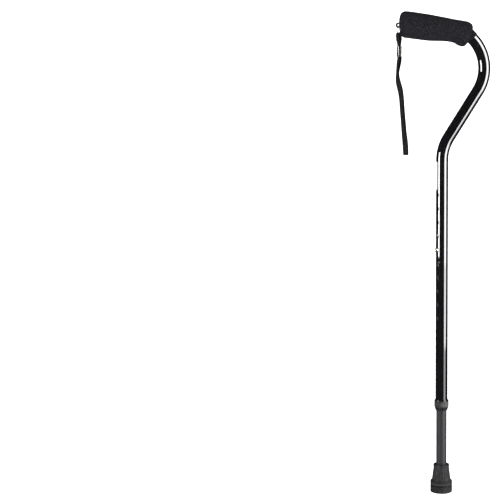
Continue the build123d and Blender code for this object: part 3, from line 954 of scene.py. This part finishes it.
# The flange inside the tube, as (distance from the shaft's axis, radius), then the stem and the dome.
profile = [(5.4, 0.02), (5.4, 4.4), (5.55, 4.9), (5.8, 5.0), (6.1, 4.95), (6.3, 4.7), (6.3, 4.1),
           (6.45, BUTTON_R)]
for k in range(5):
    profile.append((6.5 + (shoulder - 6.7) * (k + 1) / 5, BUTTON_R))
dome_r = (BUTTON_R ** 2 + (dome_top - shoulder) ** 2) / (2 * (dome_top - shoulder))
for k in range(12):
    a = math.asin((BUTTON_R - 0.06) / dome_r) * (1 - k / 12)
    profile.append((dome_top - dome_r + dome_r * math.cos(a), max(0.02, dome_r * math.sin(a))))
profile.append((dome_top, 0.02))
out = Vector((math.cos(BUTTON_TURN), math.sin(BUTTON_TURN), 0))
side = out.cross(Vector((0, 0, 1)))
verts = []
BUTTON_AROUND = 48
for along_out, r in profile:
    for k in range(BUTTON_AROUND):
        a = 2 * math.pi * k / BUTTON_AROUND
        p = out * along_out + side * (r * math.cos(a)) + Vector((0, 0, BUTTON_Z + r * math.sin(a)))
        verts.append(tuple(p))
faces = grid_faces(len(profile), BUTTON_AROUND)
faces.append(tuple(range(BUTTON_AROUND)))
faces.append(tuple(range((len(profile) - 1) * BUTTON_AROUND, len(profile) * BUTTON_AROUND)))
mesh_piece("domed_snap_button", verts, faces, BUTTON_METAL, "button", ["snap_button"],
           sharp=50)

LABEL_TURN, LABEL_HALF, LABEL_CORNER = math.radians(170), math.radians(35), 3.0
LABEL_ROWS, LABEL_COLUMNS = 60, 24
verts = []
for radius in (UPPER_R + 0.2, UPPER_R + 0.005):
    for i in range(LABEL_ROWS + 1):
        s = 0.5 - 0.5 * math.cos(math.pi * i / LABEL_ROWS)
        z = LABEL_LOW + (LABEL_HIGH - LABEL_LOW) * s
        near = min(z - LABEL_LOW, LABEL_HIGH - z)
        cut = LABEL_CORNER - math.sqrt(max(0.0, LABEL_CORNER ** 2 - max(0.0, LABEL_CORNER - near) ** 2))
        half = LABEL_HALF - cut / UPPER_R
        for k in range(LABEL_COLUMNS + 1):
            a = LABEL_TURN + half * (2 * k / LABEL_COLUMNS - 1)
            verts.append((radius * math.cos(a), radius * math.sin(a), z))
faces = []
row = LABEL_COLUMNS + 1
size = row * (LABEL_ROWS + 1)
for base in (0, size):
    for i in range(LABEL_ROWS):
        for k in range(LABEL_COLUMNS):
            a = base + i * row + k
            faces.append((a, a + 1, a + row + 1, a + row))
for i in range(LABEL_ROWS):
    for k in (0, LABEL_COLUMNS):
        a = i * row + k
        faces.append((a, a + row, a + row + size, a + size))
for k in range(LABEL_COLUMNS):
    for i in (0, LABEL_ROWS):
        a = i * row + k
        faces.append((a, a + 1, a + 1 + size, a + size))
mesh_piece("blank_film_label", verts, faces, FILM, "upper_assembly", ["blank_label"], sharp=50)

# ---------------------------------------------------------------------------------------------
# CAD nodes that keep their own shape
# ---------------------------------------------------------------------------------------------
for name, finish in (
    ("handle_end_plug", BLACK_PLASTIC),
    ("collet_bushing", COLLET_PLASTIC),
    ("compression_ring", COLLET_PLASTIC),
    ("tube_guide_cap", COLLET_PLASTIC),
    ("snap_spring", STEEL),
    ("tip_washer", STEEL),
):
    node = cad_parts[name]
    node.data.materials.clear()
    node.data.materials.append(finish)

# ---------------------------------------------------------------------------------------------
# Stage: a white dish. Its floor is just below the tip at the longest setting, because the upper
# tube is the fixed body and the leg slides 127 mm down out of it.
# ---------------------------------------------------------------------------------------------
STAGE_FLOOR = -0.13
DISH_R, DISH_CURVE, DISH_TOP = 6.0, 2.0, 7.0
turns = [math.pi / 2 * k / 12 for k in range(1, 13)]
dish_profile = [(0.0, 0.0), (DISH_R, 0.0)]
dish_profile += [(DISH_R + DISH_CURVE * math.sin(a), DISH_CURVE - DISH_CURVE * math.cos(a)) for a in turns]
dish_profile.append((DISH_R + DISH_CURVE, DISH_TOP))
DISH_AROUND = 96
verts = [(0.0, 0.0, STAGE_FLOOR)]
faces = []
for r, z in dish_profile[1:]:
    angles = [2 * math.pi * k / DISH_AROUND for k in range(DISH_AROUND)]
    verts += [(r * math.cos(a), r * math.sin(a), z + STAGE_FLOOR) for a in angles]
for k in range(DISH_AROUND):
    faces.append((0, 1 + k, 1 + (k + 1) % DISH_AROUND))
for i in range(len(dish_profile) - 2):
    for k in range(DISH_AROUND):
        n = (k + 1) % DISH_AROUND
        a, b = 1 + i * DISH_AROUND, 1 + (i + 1) * DISH_AROUND
        faces.append((a + k, b + k, b + n, a + n))
me = bpy.data.meshes.new("studio_dish")
me.from_pydata(verts, [], faces)
me.polygons.foreach_set("use_smooth", [True] * len(me.polygons))
dish = bpy.data.objects.new("studio_dish", me)
scene.collection.objects.link(dish)
paper = Shader("studio_paper", Roughness=0.9)
paper.set("Base Color", (0.8, 0.8, 0.8))
paper.set("Emission Color", (1.0, 1.0, 1.0))
paper.set("Emission Strength", 0.9)
me.materials.append(paper.material)
dish.visible_glossy = False
dish.visible_shadow = False
